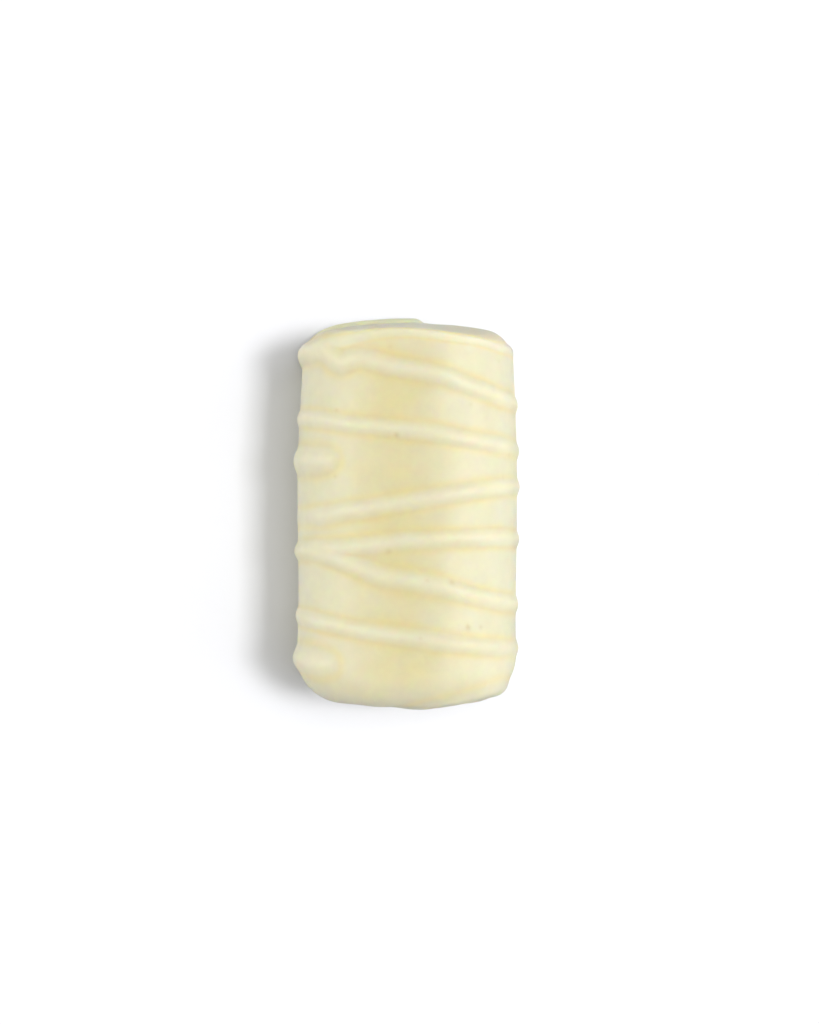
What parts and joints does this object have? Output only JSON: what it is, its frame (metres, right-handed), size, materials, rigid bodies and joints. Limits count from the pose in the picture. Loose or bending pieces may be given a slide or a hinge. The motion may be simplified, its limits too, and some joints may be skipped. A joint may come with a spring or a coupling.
{
  "type": "mini yule log cake",
  "caption": "Small flat-bottomed log cake enrobed in ivory white chocolate with a zigzag drizzle of the same chocolate",
  "frame": {"origin": "centre of the bottom of the cake's box, on the surface it rests on", "axes": "+Z up; +Y along the log, towards the tight-shouldered end; +X to the right of the log seen from above with +Y up"},
  "size_m": [0.0404, 0.0708, 0.0335],
  "materials": {
    "white_chocolate": "satin"
  },
  "bodies": {
    "root": {"yule_log": "white_chocolate"}
  },
  "joints": []
}
